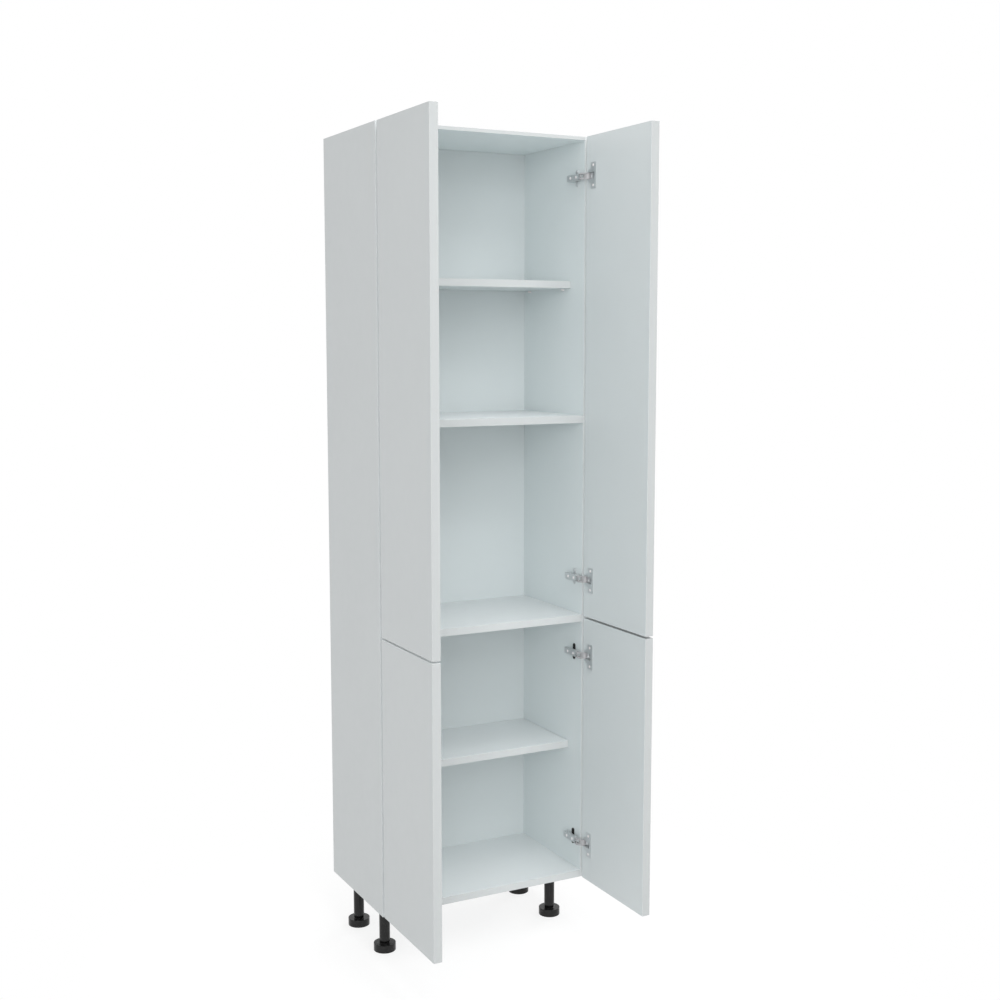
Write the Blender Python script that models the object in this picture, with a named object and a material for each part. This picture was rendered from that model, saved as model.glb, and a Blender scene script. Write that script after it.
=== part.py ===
"""Tall larder unit: a carcass of boards on four adjustable legs, with four slab doors on concealed hinges.

Metres, +Z up. The front faces -Y and the floor is z = 0. The doors rest open at a right angle, two above
and two below, each on two hinges. The origin is under the middle of the unit, its open doors included.

Hinge shapes are drawn in a plan of their own, for a left door: u runs inwards from the outer face of the
side, v runs forwards from the front of the carcass, and z runs up from the middle of the hinge.
"""

import math

import bmesh
import bpy

# Carcass
CARCASS_WIDTH = 0.600
CARCASS_DEPTH = 0.347
CARCASS_HEIGHT = 1.970
BOARD = 0.019
TOP_BOARD = 0.009
BACK_BOARD = 0.018
BACK_INSET = 0.006
BOARD_EDGE_ROUND = 0.0006

# Clearances
SEAT_GAP = 0.0003
RUNNING_GAP = 0.0002
OVERLAP = 0.0004
CUT_OVERRUN = 0.001

# Shelves: the split shelf stands behind the gap between the doors
SPLIT_SHELF_RISE = 0.0065
UPPER_FIXED_SHELF_SHARE = 0.429
UPPER_LOOSE_SHELF_SHARE = 0.498
LOWER_LOOSE_SHELF_SHARE = 0.501
LOOSE_SHELF_SETBACK = 0.067
LOOSE_SHELF_SIDE_GAP = 0.001
PEG_DIAMETER = 0.005
PEG_LENGTH = 0.008
PEG_END_DISTANCE = 0.037

# Doors
DOOR_THICKNESS = 0.022
LOWER_DOOR_HEIGHT = 0.715
DOOR_BOTTOM_GAP = 0.004
DOOR_SPLIT_GAP = 0.005
DOOR_TOP_GAP = 0.001
DOOR_EDGE_INSET = 0.002
DOOR_PAIR_GAP = 0.004
DOOR_EDGE_ROUND = 0.001
DOOR_CLOSED_GAP = 0.002
DOOR_OPEN_GAP = 0.013
DOOR_OPEN_OVERHANG = 0.001

# Hinges
HINGE_END_DISTANCE = 0.100
BORE_DIAMETER = 0.035
BORE_DEPTH = 0.013
BORE_EDGE_DISTANCE = 0.0055
CUP_WALL = 0.001
CUP_CHAMFER = 0.0015
CUP_NOTCH_DEPTH = 0.0036
FLANGE_THICKNESS = 0.001
FLANGE_HEIGHT = 0.066
FLANGE_WIDTH = 0.024
FLANGE_RIM = 0.0015
FLANGE_SCREW_SPACING = 0.050
FLANGE_SCREW_OFFSET = 0.0105
FLANGE_CORNER = 0.002
CUP_SCREW_DIAMETER = 0.007
CUP_SCREW_HEAD = 0.0007
PLATE_THICKNESS = 0.002
PLATE_SCREW_SETBACK = 0.037
PLATE_SCREW_SPACING = 0.032
PLATE_WING_WIDTH = 0.011
RISER_WIDTH = 0.0106
RISER_FRONT = 0.016
RISER_REAR = 0.058
PLATE_SCREW_DIAMETER = 0.0075
PLATE_SCREW_HEAD = 0.0014
ARM_HEIGHT = 0.016
ARM_WIDTH = 0.017
ARM_PLATE = 0.0014
ARM_BEND = 0.0012
ARM_CHEEK_HEIGHT = 0.009
ARM_FRONT = 0.003
ARM_REAR = 0.064
ARM_SCREW_SETBACKS = (0.018, 0.046)
ARM_SCREW_DIAMETER = 0.0068
ARM_SCREW_HEAD = 0.0009
NOSE_ROOT_SETBACK = 0.013
NOSE_RADIUS = 0.0026
LINK_PLATE = 0.0014
LAYER_GAP = 0.0004
INNER_LINK_WIDTH = 0.0092
OUTER_LINK_RADIUS = 0.0017
INNER_LINK_RADIUS = 0.0015
OUTER_LINK_BOW = 0.0026
INNER_LINK_BOW = 0.0037
OUTER_LINK_CREST_SHARE = 0.5
INNER_LINK_CREST_SHARE = 0.66
PIN_RADIUS = 0.001
STUB_BITE = 0.0016
OUTER_PIN_RISE = 0.0167
OUTER_PIN_REACH = 0.0078
OUTER_PIN_POLE_DISTANCE = 0.0155
INNER_PIN_RISE = 0.0093
INNER_PIN_REACH = 0.0109
INNER_PIN_POLE_DISTANCE = 0.0121

# Legs
LEG_HEIGHT = 0.140
LEG_SIDE_INSET = 0.0515
LEG_FRONT_SETBACK = 0.112
LEG_REAR_SETBACK = 0.054
FOOT_DIAMETER = 0.058
FOOT_HEIGHT = 0.020
FOOT_CHAMFER = 0.002
COLLAR_DIAMETER = 0.0265
COLLAR_HEIGHT = 0.0062
TUBE_DIAMETER = 0.028
STEM_DIAMETER = 0.012
STEM_LENGTH = 0.062
STEM_CLEARANCE = 0.0004
SOCKET_FLANGE_DIAMETER = 0.066
SOCKET_FLANGE_THICKNESS = 0.004
SOCKET_WALL = 0.003
SOCKET_DEPTH = 0.036

# Smoothness
PIN_SIDES = 8
SCREW_SIDES = 8
CORNER_STEPS = 2
EYE_STEPS = 3
STRAP_STEPS = 4
POCKET_STEPS = 4
CUP_SIDES = 24
LEG_SIDES = 20
PEG_SIDES = 10
BOARD_EDGE_STEPS = 1
DOOR_EDGE_STEPS = 2
SMOOTH_ANGLE = math.radians(35)
QUARTER_TURN = math.pi / 2
EIGHTH_TURN = math.pi / 4

# Derived places
DOOR_WIDTH = (CARCASS_WIDTH - 2 * DOOR_EDGE_INSET - DOOR_PAIR_GAP) / 2
DOOR_REACH = DOOR_OPEN_GAP + DOOR_WIDTH
REAR_Y = (CARCASS_DEPTH + DOOR_REACH) / 2
FRONT_Y = REAR_Y - CARCASS_DEPTH
BASE_Z = LEG_HEIGHT
TOP_Z = BASE_Z + CARCASS_HEIGHT
HALF_WIDTH = CARCASS_WIDTH / 2
BACK_FACE_Y = REAR_Y - BACK_INSET - BACK_BOARD
LOWER_DOOR_Z = BASE_Z + DOOR_BOTTOM_GAP
SPLIT_Z = LOWER_DOOR_Z + LOWER_DOOR_HEIGHT
UPPER_DOOR_Z = SPLIT_Z + DOOR_SPLIT_GAP
UPPER_DOOR_HEIGHT = TOP_Z - DOOR_TOP_GAP - UPPER_DOOR_Z
FLOOR_BOARD_TOP_Z = BASE_Z + BOARD
CEILING_Z = TOP_Z - TOP_BOARD
SPLIT_SHELF_Z = SPLIT_Z + SPLIT_SHELF_RISE
UPPER_FIXED_SHELF_Z = SPLIT_SHELF_Z + (CEILING_Z - SPLIT_SHELF_Z) * UPPER_FIXED_SHELF_SHARE
UPPER_LOOSE_SHELF_Z = UPPER_FIXED_SHELF_Z + (CEILING_Z - UPPER_FIXED_SHELF_Z) * UPPER_LOOSE_SHELF_SHARE
LOWER_CLEAR_HEIGHT = SPLIT_SHELF_Z - BOARD - FLOOR_BOARD_TOP_Z
LOWER_LOOSE_SHELF_Z = FLOOR_BOARD_TOP_Z + LOWER_CLEAR_HEIGHT * LOWER_LOOSE_SHELF_SHARE

# Derived hinge sizes, in the plan of u and v
CUP_CENTRE_INSET = BORE_EDGE_DISTANCE + BORE_DIAMETER / 2
CUP_CENTRE_V = DOOR_OPEN_GAP + CUP_CENTRE_INSET
DOOR_INNER_U = DOOR_THICKNESS - DOOR_OPEN_OVERHANG
CUP_RADIUS = BORE_DIAMETER / 2 - SEAT_GAP
CUP_DEPTH = BORE_DEPTH - SEAT_GAP
ARM_TOP_U = BOARD + ARM_HEIGHT
INNER_LINK_HALF = INNER_LINK_WIDTH / 2
NOSE_INSIDE = INNER_LINK_HALF + LAYER_GAP
NOSE_OUTSIDE = NOSE_INSIDE + LINK_PLATE
OUTER_LINK_INSIDE = NOSE_OUTSIDE + LAYER_GAP
OUTER_LINK_OUTSIDE = OUTER_LINK_INSIDE + LINK_PLATE
INNER_LINK_BROAD_HALF = OUTER_LINK_INSIDE - LAYER_GAP
NOSE_CLEAR_RADIUS = NOSE_RADIUS + INNER_LINK_RADIUS + LAYER_GAP
POCKET_HALF = OUTER_LINK_OUTSIDE + LAYER_GAP
POCKET_RADIUS = CUP_RADIUS - CUP_WALL
OUTER_ARM_PIN = (BOARD + OUTER_PIN_RISE, OUTER_PIN_REACH)
INNER_ARM_PIN = (BOARD + INNER_PIN_RISE, INNER_PIN_REACH)

# The point that a quarter turn would bring the closed door about, to where it stands open
POLE = (
    (DOOR_CLOSED_GAP + DOOR_THICKNESS - DOOR_OPEN_GAP + DOOR_EDGE_INSET - DOOR_OPEN_OVERHANG) / 2,
    (DOOR_OPEN_GAP - DOOR_EDGE_INSET + DOOR_CLOSED_GAP + DOOR_THICKNESS - DOOR_OPEN_OVERHANG) / 2,
)


def cup_pins(arm_pin, pole_distance):
    """Where a link's pin in the cup stands with the door open, and closed: both as far from the arm's pin."""
    bearing = math.atan2(arm_pin[1] - POLE[1], arm_pin[0] - POLE[0])
    return tuple(
        (
            POLE[0] + pole_distance * math.cos(bearing + turn),
            POLE[1] + pole_distance * math.sin(bearing + turn),
        )
        for turn in (EIGHTH_TURN, -EIGHTH_TURN)
    )


def closing_turn(arm_pin, pins):
    """How far a link turns in the plan of u and v as the door closes."""
    bearings = [math.atan2(pin[1] - arm_pin[1], pin[0] - arm_pin[0]) for pin in pins]
    return (bearings[1] - bearings[0]) % (4 * QUARTER_TURN)


OUTER_CUP_PINS = cup_pins(OUTER_ARM_PIN, OUTER_PIN_POLE_DISTANCE)
INNER_CUP_PINS = cup_pins(INNER_ARM_PIN, INNER_PIN_POLE_DISTANCE)
OUTER_CUP_PIN = OUTER_CUP_PINS[0]
INNER_CUP_PIN = INNER_CUP_PINS[0]


def clear_scene():
    for obj in list(bpy.data.objects):
        bpy.data.objects.remove(obj)


def material(name, colour, roughness, metallic):
    made = bpy.data.materials.new(name)
    made.use_nodes = True
    shader = made.node_tree.nodes["Principled BSDF"]
    shader.inputs["Base Color"].default_value = (*colour, 1)
    shader.inputs["Roughness"].default_value = roughness
    shader.inputs["Metallic"].default_value = metallic
    return made


# Shapes

def spot(pair, axis, height):
    """A point from its two coordinates across the axis, in x, y, z order, and its height along the axis."""
    point = list(pair)
    point.insert("xyz".index(axis), height)
    return point


def prism(outline, axis, low, high):
    """An outline in the plane across the axis, extruded from low to high along it."""
    mesh = bmesh.new()
    face = mesh.faces.new([mesh.verts.new(spot(pair, axis, low)) for pair in outline])
    moved = bmesh.ops.extrude_face_region(mesh, geom=[face])["geom"]
    rise = [vert for vert in moved if isinstance(vert, bmesh.types.BMVert)]
    bmesh.ops.translate(mesh, verts=rise, vec=spot((0, 0), axis, high - low))
    return mesh


def circle(centre, radius, sides, start=0, sweep=4 * QUARTER_TURN):
    """Points round a circle, or along an arc of it when the sweep is less than a full turn."""
    steps = sides if sweep >= 4 * QUARTER_TURN else sides + 1
    return [
        (
            centre[0] + radius * math.cos(start + sweep * step / sides),
            centre[1] + radius * math.sin(start + sweep * step / sides),
        )
        for step in range(steps)
    ]


def rounded_box(low, high, radius):
    """The outline of a rectangle with round corners."""
    corners = ((high[0], high[1]), (low[0], high[1]), (low[0], low[1]), (high[0], low[1]))
    inwards = ((-1, -1), (1, -1), (1, 1), (-1, 1))
    points = []
    for turn, (corner, inward) in enumerate(zip(corners, inwards)):
        centre = (corner[0] + inward[0] * radius, corner[1] + inward[1] * radius)
        points += circle(centre, radius, CORNER_STEPS, turn * QUARTER_TURN, QUARTER_TURN)
    return points


def box(low, high):
    """The outline of a rectangle with sharp corners."""
    return [(low[0], low[1]), (high[0], low[1]), (high[0], high[1]), (low[0], high[1])]


def strap(start, end, radius, bow, crest):
    """The outline of a round-ended link between two pins, bowed to a crest part of the way along."""
    run = (end[0] - start[0], end[1] - start[1])
    length = math.hypot(*run)
    along = (run[0] / length, run[1] / length)
    aside = (along[1], -along[0])

    def centre(share):
        climb = min(share / crest, (1 - share) / (1 - crest))
        lift = bow * climb * (2 - climb)
        return (
            start[0] + run[0] * share + aside[0] * lift,
            start[1] + run[1] * share + aside[1] * lift,
        )

    def edge(side):
        points = []
        for step in range(1, STRAP_STEPS):
            middle = centre(step / STRAP_STEPS)
            points.append((middle[0] + side * aside[0] * radius, middle[1] + side * aside[1] * radius))
        return points

    bearing = math.atan2(along[1], along[0])
    end_cap = circle(end, radius, PIN_SIDES // 2, bearing - QUARTER_TURN, 2 * QUARTER_TURN)
    start_cap = circle(start, radius, PIN_SIDES // 2, bearing + QUARTER_TURN, 2 * QUARTER_TURN)
    return edge(1) + end_cap + edge(-1)[::-1] + start_cap


def stretched(pins, radius):
    """The outline of a plate stretched round three or more pins, given anticlockwise."""
    points = []
    for before, pin, after in zip(pins[-1:] + pins[:-1], pins, pins[1:] + pins[:1]):
        arriving = math.atan2(pin[1] - before[1], pin[0] - before[0]) - QUARTER_TURN
        leaving = math.atan2(after[1] - pin[1], after[0] - pin[0]) - QUARTER_TURN
        sweep = (leaving - arriving) % (4 * QUARTER_TURN)
        points += circle(pin, radius, EYE_STEPS, arriving, sweep)
    return points


def turned(profile, axis, centre, sides):
    """A profile of (radius, height) pairs, from one end of the axis to the other, spun a full turn."""
    mesh = bmesh.new()
    rings = []
    for radius, height in profile:
        pairs = circle(centre, radius, sides) if radius > 0 else [centre]
        rings.append([mesh.verts.new(spot(pair, axis, height)) for pair in pairs])
    for first, second in zip(rings, rings[1:]):
        for step in range(sides):
            following = (step + 1) % sides
            corners = [first[step % len(first)], first[following % len(first)]]
            corners += [second[following % len(second)], second[step % len(second)]]
            mesh.faces.new(list(dict.fromkeys(corners)))
    return mesh


def board_mesh(low, high, edge_round, steps):
    """A board between two corners, with its edges just eased."""
    mesh = prism(box(low[:2], high[:2]), "z", low[2], high[2])
    bmesh.ops.bevel(
        mesh, geom=mesh.edges[:], offset=edge_round, segments=steps, profile=0.5, affect="EDGES"
    )
    return mesh


def finish(mesh, name):
    """Face the shape outwards, smooth its round sides and keep its corners."""
    bmesh.ops.recalc_face_normals(mesh, faces=mesh.faces[:])
    data = bpy.data.meshes.new(name)
    mesh.to_mesh(data)
    mesh.free()
    data.shade_smooth()
    data.set_sharp_from_angle(angle=SMOOTH_ANGLE)
    return data


def place(name, data, location=(0, 0, 0)):
    obj = bpy.data.objects.new(name, data)
    obj.location = location
    bpy.context.scene.collection.objects.link(obj)
    return obj


def combined(name, base, others):
    """One mesh from a base and a list of (operation, shape) pairs, in order."""
    body = place(name, finish(base, name))
    helpers = []
    for step, (operation, shape) in enumerate(others):
        helper = place(f"{name}_helper", finish(shape, f"{name}_helper"))
        helper.hide_render = True
        helper.display_type = "WIRE"
        helpers.append(helper)
        modifier = body.modifiers.new(f"step_{step}", "BOOLEAN")
        modifier.operation = operation
        modifier.solver = "EXACT"
        modifier.object = helper
    bpy.context.view_layer.update()
    graph = bpy.context.evaluated_depsgraph_get()
    data = bpy.data.meshes.new_from_object(body.evaluated_get(graph))
    for obj in [body] + helpers:
        bpy.data.objects.remove(obj)
    data.name = name
    data.shade_smooth()
    data.set_sharp_from_angle(angle=SMOOTH_ANGLE)
    return data


def dressed(obj, look, parent=None):
    """Give an object its material, and hang it on the piece that carries it."""
    obj.data.materials.clear()
    obj.data.materials.append(look)
    if parent:
        obj.parent = parent
        obj.location -= parent.location
    return obj


# Carcass


def side_board(side, look):
    """A side of the carcass, with the pegs that the loose shelves lie on."""
    inner_x = HALF_WIDTH - BOARD
    low = (inner_x, FRONT_Y, BASE_Z)
    high = (HALF_WIDTH, REAR_Y, TOP_Z)
    pegs = []
    for shelf_z in (LOWER_LOOSE_SHELF_Z, UPPER_LOOSE_SHELF_Z):
        peg_z = shelf_z - BOARD - SEAT_GAP - PEG_DIAMETER / 2
        for peg_y in (
            FRONT_Y + LOOSE_SHELF_SETBACK + PEG_END_DISTANCE,
            BACK_FACE_Y - PEG_END_DISTANCE,
        ):
            outline = circle((peg_y, peg_z), PEG_DIAMETER / 2, PEG_SIDES)
            peg = prism(outline, "x", inner_x - PEG_LENGTH, inner_x + OVERLAP)
            pegs.append(("UNION", peg))
    data = combined("side", board_mesh(low, high, BOARD_EDGE_ROUND, BOARD_EDGE_STEPS), pegs)
    if side < 0:
        data = mirrored(data)
    name = "side_panel_right" if side > 0 else "side_panel_left"
    return dressed(place(name, data), look)


def mirrored(data):
    """A copy of a mesh, mirrored left to right."""
    copy = data.copy()
    for vert in copy.vertices:
        vert.co.x = -vert.co.x
    copy.flip_normals()
    return copy


def inner_board(name, low_y, high_y, top_z, thickness, side_gap, look):
    """A level board between the sides, from its front and rear edges and its top."""
    half = HALF_WIDTH - BOARD - side_gap
    low = (-half, low_y, top_z - thickness)
    high = (half, high_y, top_z)
    mesh = board_mesh(low, high, BOARD_EDGE_ROUND, BOARD_EDGE_STEPS)
    return dressed(place(name, finish(mesh, name)), look)


def carcass(look):
    for side in (-1, 1):
        side_board(side, look)
    inner_board("top_panel", FRONT_Y, REAR_Y, TOP_Z, TOP_BOARD, SEAT_GAP, look)
    inner_board("bottom_panel", FRONT_Y, REAR_Y, FLOOR_BOARD_TOP_Z, BOARD, SEAT_GAP, look)
    shelf_rear = BACK_FACE_Y - SEAT_GAP
    inner_board("fixed_shelf_split", FRONT_Y, shelf_rear, SPLIT_SHELF_Z, BOARD, SEAT_GAP, look)
    inner_board("fixed_shelf_upper", FRONT_Y, shelf_rear, UPPER_FIXED_SHELF_Z, BOARD, SEAT_GAP, look)
    loose_front = FRONT_Y + LOOSE_SHELF_SETBACK
    for name, top_z in (
        ("loose_shelf_upper", UPPER_LOOSE_SHELF_Z),
        ("loose_shelf_lower", LOWER_LOOSE_SHELF_Z),
    ):
        inner_board(name, loose_front, shelf_rear, top_z, BOARD, LOOSE_SHELF_SIDE_GAP, look)
    half = HALF_WIDTH - BOARD - SEAT_GAP
    low = (-half, BACK_FACE_Y, FLOOR_BOARD_TOP_Z + SEAT_GAP)
    high = (half, BACK_FACE_Y + BACK_BOARD, CEILING_Z - SEAT_GAP)
    back = board_mesh(low, high, BOARD_EDGE_ROUND, BOARD_EDGE_STEPS)
    dressed(place("back_panel", finish(back, "back_panel")), look)


# Hinges, drawn with x as u, y as v and z from the middle of the hinge


def upright(outline, low, high):
    return prism(outline, "z", low, high)


def layer_pair(outline, inside, outside):
    """The same plate above and below the middle of the hinge."""
    return [upright(outline, inside, outside), upright(outline, -outside, -inside)]


def unions(shapes):
    return [("UNION", shape) for shape in shapes]


def cuts(shapes):
    return [("DIFFERENCE", shape) for shape in shapes]


def arm_shape():
    """Mounting plate, riser, channel arm and nose in one piece, with its four screw heads."""
    plate_low = BOARD + SEAT_GAP
    plate_top = plate_low + PLATE_THICKNESS
    wing_reach = (PLATE_SCREW_SPACING + PLATE_WING_WIDTH) / 2
    wing_half = PLATE_WING_WIDTH / 2
    wings = rounded_box(
        (-PLATE_SCREW_SETBACK - wing_half, -wing_reach),
        (-PLATE_SCREW_SETBACK + wing_half, wing_reach),
        wing_half - OVERLAP,
    )
    riser = box((-RISER_REAR, -RISER_WIDTH / 2), (-RISER_FRONT, RISER_WIDTH / 2))
    half = ARM_WIDTH / 2
    under = ARM_TOP_U - ARM_PLATE
    foot = ARM_TOP_U - ARM_CHEEK_HEIGHT
    bend_u = ARM_TOP_U - ARM_BEND
    bend_z = half - ARM_BEND
    channel = [
        (foot, -half),
        *circle((bend_u, -bend_z), ARM_BEND, CORNER_STEPS, -QUARTER_TURN, QUARTER_TURN),
        *circle((bend_u, bend_z), ARM_BEND, CORNER_STEPS, 0, QUARTER_TURN),
        (foot, half), (foot, half - ARM_PLATE), (under, half - ARM_PLATE),
        (under, ARM_PLATE - half), (foot, ARM_PLATE - half),
    ]
    root = (under - NOSE_RADIUS + OVERLAP, -NOSE_ROOT_SETBACK)
    nose = stretched([root, OUTER_ARM_PIN, INNER_ARM_PIN], NOSE_RADIUS)
    shapes = [
        prism(wings, "x", plate_low - OVERLAP / 4, plate_top + OVERLAP / 4),
        prism(channel, "y", -ARM_REAR, -ARM_FRONT),
    ]
    shapes += layer_pair(nose, NOSE_INSIDE, NOSE_OUTSIDE)
    for side in (-1, 1):
        centre = (-PLATE_SCREW_SETBACK, side * PLATE_SCREW_SPACING / 2)
        head = circle(centre, PLATE_SCREW_DIAMETER / 2, SCREW_SIDES)
        shapes.append(prism(head, "x", plate_top - OVERLAP, plate_top + PLATE_SCREW_HEAD))
    for setback in ARM_SCREW_SETBACKS:
        head = circle((-setback, 0), ARM_SCREW_DIAMETER / 2, SCREW_SIDES)
        shapes.append(prism(head, "x", ARM_TOP_U - OVERLAP, ARM_TOP_U + ARM_SCREW_HEAD))
    holes = []
    for pin in (OUTER_ARM_PIN, INNER_ARM_PIN):
        hole = circle(pin, PIN_RADIUS + RUNNING_GAP, PIN_SIDES)
        holes.append(upright(hole, -NOSE_OUTSIDE - CUT_OVERRUN, NOSE_OUTSIDE + CUT_OVERRUN))
    base = prism(riser, "x", plate_low, under + OVERLAP)
    return combined("hinge_arm", base, unions(shapes) + cuts(holes))


def outer_link_shape():
    """Two bowed cheeks on one long pin at the arm, with a stub at the cup on each."""
    bow = (OUTER_LINK_BOW, OUTER_LINK_CREST_SHARE)
    outline = strap(OUTER_ARM_PIN, OUTER_CUP_PIN, OUTER_LINK_RADIUS, *bow)
    cheeks = layer_pair(outline, OUTER_LINK_INSIDE, OUTER_LINK_OUTSIDE)
    reach = OUTER_LINK_OUTSIDE + LAYER_GAP / 2
    pin = upright(circle(OUTER_ARM_PIN, PIN_RADIUS, PIN_SIDES), -reach, reach)
    stub = circle(OUTER_CUP_PIN, PIN_RADIUS, PIN_SIDES)
    stubs = layer_pair(stub, OUTER_LINK_OUTSIDE - LINK_PLATE / 2, POCKET_HALF + STUB_BITE - SEAT_GAP)
    return combined("outer_link", pin, unions(cheeks + stubs))


def inner_link_shape():
    """One link, narrow where it turns inside the nose and broad beyond it, with a pin through its eye."""
    bow = (INNER_LINK_BOW, INNER_LINK_CREST_SHARE)
    outline = strap(INNER_ARM_PIN, INNER_CUP_PIN, INNER_LINK_RADIUS, *bow)
    body = upright(outline, -INNER_LINK_BROAD_HALF, INNER_LINK_BROAD_HALF)
    room = circle(INNER_ARM_PIN, NOSE_CLEAR_RADIUS, SCREW_SIDES)
    rooms = layer_pair(room, INNER_LINK_HALF, INNER_LINK_BROAD_HALF + CUT_OVERRUN)
    pin = upright(circle(INNER_ARM_PIN, PIN_RADIUS, PIN_SIDES), -NOSE_OUTSIDE, NOSE_OUTSIDE)
    return combined("inner_link", body, cuts(rooms) + unions([pin]))


def cup_shape():
    """The cast cup in the door, under a straight screw flange, with a pocket that the links fold into."""
    centre = (CUP_CENTRE_V, 0)
    floor_u = DOOR_INNER_U - CUP_DEPTH
    flange_low = DOOR_INNER_U + SEAT_GAP
    flange_top = flange_low + FLANGE_THICKNESS
    rim = CUP_RADIUS + FLANGE_RIM
    profile = [
        (0, floor_u), (CUP_RADIUS - CUP_CHAMFER, floor_u), (CUP_RADIUS, floor_u + CUP_CHAMFER),
        (CUP_RADIUS, flange_low), (rim, flange_low), (rim, flange_top), (0, flange_top),
    ]
    base = turned(profile, "x", centre, CUP_SIDES)
    flange_v = CUP_CENTRE_V + FLANGE_SCREW_OFFSET
    flange = rounded_box(
        (flange_v - FLANGE_WIDTH / 2, -FLANGE_HEIGHT / 2),
        (flange_v + FLANGE_WIDTH / 2, FLANGE_HEIGHT / 2),
        FLANGE_CORNER,
    )
    shapes = [prism(flange, "x", flange_low + OVERLAP / 4, flange_top - OVERLAP / 4)]
    for side in (-1, 1):
        head_at = (flange_v, side * FLANGE_SCREW_SPACING / 2)
        head = circle(head_at, CUP_SCREW_DIAMETER / 2, SCREW_SIDES)
        shapes.append(prism(head, "x", flange_top - OVERLAP, flange_top + CUP_SCREW_HEAD))
    half_arc = math.asin(POCKET_HALF / POCKET_RADIUS)
    pocket = circle(centre, POCKET_RADIUS, POCKET_STEPS, -half_arc, 2 * half_arc)
    pocket += circle(centre, POCKET_RADIUS, POCKET_STEPS, 2 * QUARTER_TURN - half_arc, 2 * half_arc)
    notch_half = OUTER_LINK_OUTSIDE + SEAT_GAP
    notch = box((CUP_CENTRE_V - rim - CUT_OVERRUN, -notch_half), (CUP_CENTRE_V, notch_half))
    hole = circle(OUTER_CUP_PIN, PIN_RADIUS + RUNNING_GAP, PIN_SIDES)
    holes = [
        prism(pocket, "x", floor_u + CUP_WALL, flange_top + CUT_OVERRUN),
        prism(notch, "x", DOOR_INNER_U - CUP_NOTCH_DEPTH, flange_top + 2 * CUT_OVERRUN),
        *layer_pair(hole, POCKET_HALF - LAYER_GAP / 2, POCKET_HALF + STUB_BITE),
    ]
    return combined("hinge_cup", base, unions(shapes) + cuts(holes))


def moved_to_door(data, pivot, side):
    """A hinge shape turned from its plan into the room, about its own pivot."""
    copy = data.copy()
    for vert in copy.vertices:
        u, v, z = vert.co
        vert.co = (-side * (u - pivot[0]), pivot[1] - v, z)
    if side > 0:
        return copy
    copy.flip_normals()
    return copy


def pivot_location(pivot, side, height):
    return (side * (HALF_WIDTH - pivot[0]), FRONT_Y - pivot[1], height)


# Doors


def door(name, side, low_z, height, looks, shapes):
    """A slab door standing open, its two hinges, and the links that carry it."""
    high_z = low_z + height
    outer_x = HALF_WIDTH + DOOR_OPEN_OVERHANG
    low = (outer_x - DOOR_THICKNESS, FRONT_Y - DOOR_REACH, low_z)
    high = (outer_x, FRONT_Y - DOOR_OPEN_GAP, high_z)
    bores = []
    heights = {"bottom": low_z + HINGE_END_DISTANCE, "top": high_z - HINGE_END_DISTANCE}
    for hinge_z in heights.values():
        outline = circle((FRONT_Y - CUP_CENTRE_V, hinge_z), BORE_DIAMETER / 2, CUP_SIDES)
        bores.append(prism(outline, "x", low[0] - CUT_OVERRUN, low[0] + BORE_DEPTH))
    slab = combined(name, board_mesh(low, high, DOOR_EDGE_ROUND, DOOR_EDGE_STEPS), cuts(bores))
    if side < 0:
        slab = mirrored(slab)
    pivot = pivot_location(OUTER_CUP_PIN, side, low_z)
    for vert in slab.vertices:
        vert.co = [vert.co[axis] - pivot[axis] for axis in range(3)]
    panel = dressed(place(f"door_{name}", slab, pivot), looks["door"])
    for end, hinge_z in heights.items():
        tag = f"{name}_{end}"
        arm_at = pivot_location((0, 0), side, hinge_z)
        dressed(place(f"hinge_arm_{tag}", shapes["arm"][side], arm_at), looks["steel"])
        outer_at = pivot_location(OUTER_ARM_PIN, side, hinge_z)
        dressed(place(f"outer_link_{tag}", shapes["outer"][side], outer_at), looks["link"])
        inner_at = pivot_location(INNER_ARM_PIN, side, hinge_z)
        dressed(place(f"inner_link_{tag}", shapes["inner"][side], inner_at), looks["link"])
        cup_at = pivot_location(OUTER_CUP_PIN, side, hinge_z)
        cup = place(f"hinge_cup_{tag}", shapes["cup"][side], cup_at)
        dressed(cup, looks["steel"], panel)


def doors(looks):
    plans = {
        "arm": (arm_shape(), (0, 0)),
        "outer": (outer_link_shape(), OUTER_ARM_PIN),
        "inner": (inner_link_shape(), INNER_ARM_PIN),
        "cup": (cup_shape(), OUTER_CUP_PIN),
    }
    shapes = {
        kind: {side: moved_to_door(data, pivot, side) for side in (-1, 1)}
        for kind, (data, pivot) in plans.items()
    }
    for side, word in ((-1, "left"), (1, "right")):
        door(f"upper_{word}", side, UPPER_DOOR_Z, UPPER_DOOR_HEIGHT, looks, shapes)
        door(f"lower_{word}", side, LOWER_DOOR_Z, LOWER_DOOR_HEIGHT, looks, shapes)


# Legs


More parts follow.
